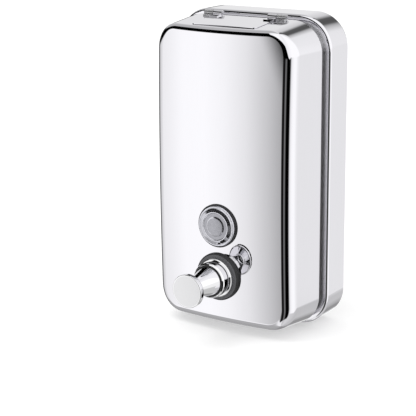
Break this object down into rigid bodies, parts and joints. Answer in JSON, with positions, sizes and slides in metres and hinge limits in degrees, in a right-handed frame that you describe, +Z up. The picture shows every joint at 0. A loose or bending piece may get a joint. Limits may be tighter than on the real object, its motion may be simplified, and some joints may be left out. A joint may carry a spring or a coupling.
{
  "type": "wall mounted soap dispenser",
  "caption": "Upright stainless soap tank in two drawn shells with a sight window, a front push valve, a hinged filler lid and a dovetail wall plate.",
  "frame": {"origin": "midway between the wall plate's two lower screw holes, on the wall plane", "axes": "+X to the viewer's right, +Y into the wall (the front faces -Y), +Z up"},
  "size_m": [0.114, 0.104, 0.2055],
  "materials": {
    "polished_steel": "mirror polished stainless steel",
    "plain_steel": "plain 2B stainless sheet",
    "brushed_steel": "satin brushed stainless sheet",
    "chrome": "bright chrome plate",
    "black_rubber": "matt black rubber",
    "clear_acrylic": "clear moulded acrylic",
    "grey_nylon": "moulded nylon",
    "nickel_brass": "machined brass",
    "white_plastic": "moulded acetal",
    "clear_tube": "milky polyethylene",
    "spring_steel": "bright stainless wire"
  },
  "bodies": {
    "wall_plate": {"wall_plate": "brushed_steel"},
    "tank": {"rear_shell": "polished_steel", "front_shell": "polished_steel", "seam_band": "polished_steel", "hinge_bracket_left": "polished_steel", "hinge_bracket_right": "polished_steel", "hinge_pin_left": "polished_steel", "hinge_pin_right": "polished_steel", "back_panel": "plain_steel", "filler_seat": "plain_steel", "hanger_bracket": "plain_steel", "valve_body": "chrome", "pump_gasket": "black_rubber", "wiper_seal": "black_rubber", "window_gasket": "black_rubber", "window_lens": "clear_acrylic", "window_nut": "grey_nylon", "window_washer": "grey_nylon", "pump_washer": "grey_nylon", "pump_nut": "nickel_brass", "pump_cylinder": "white_plastic", "inlet_cap": "white_plastic", "pickup_tube": "clear_tube", "return_spring": "spring_steel"},
    "lid": {"lid": "polished_steel", "lid_seal": "black_rubber"},
    "knob": {"push_knob": "chrome", "piston_rod": "nickel_brass", "piston": "white_plastic", "piston_seal": "black_rubber"},
    "outlet_ball": {"outlet_ball": "spring_steel"},
    "inlet_ball": {"inlet_ball": "spring_steel"}
  },
  "joints": [
    {"name": "lift_off", "type": "slide", "parent": "wall_plate", "child": "tank", "axis": [0, 0, 1], "range_m": [0, 0.07]},
    {"name": "lid_hinge", "type": "hinge", "parent": "tank", "child": "lid", "pos_m": [0, -0.03356, 0.09079], "axis": [-1, 0, 0], "range_deg": [0, 105]},
    {"name": "knob_push", "type": "slide", "parent": "tank", "child": "knob", "axis": [0, 1, 0], "range_m": [0, 0.012], "stiffness_N_per_m": 400, "springref_m": -0.006, "deforming": ["return_spring"]},
    {"name": "outlet_ball_lift", "type": "slide", "parent": "knob", "child": "outlet_ball", "axis": [0, -1, 0], "range_m": [0, 0.001]},
    {"name": "inlet_ball_lift", "type": "slide", "parent": "tank", "child": "inlet_ball", "axis": [0, -1, 0], "range_m": [0, 0.002]}
  ]
}
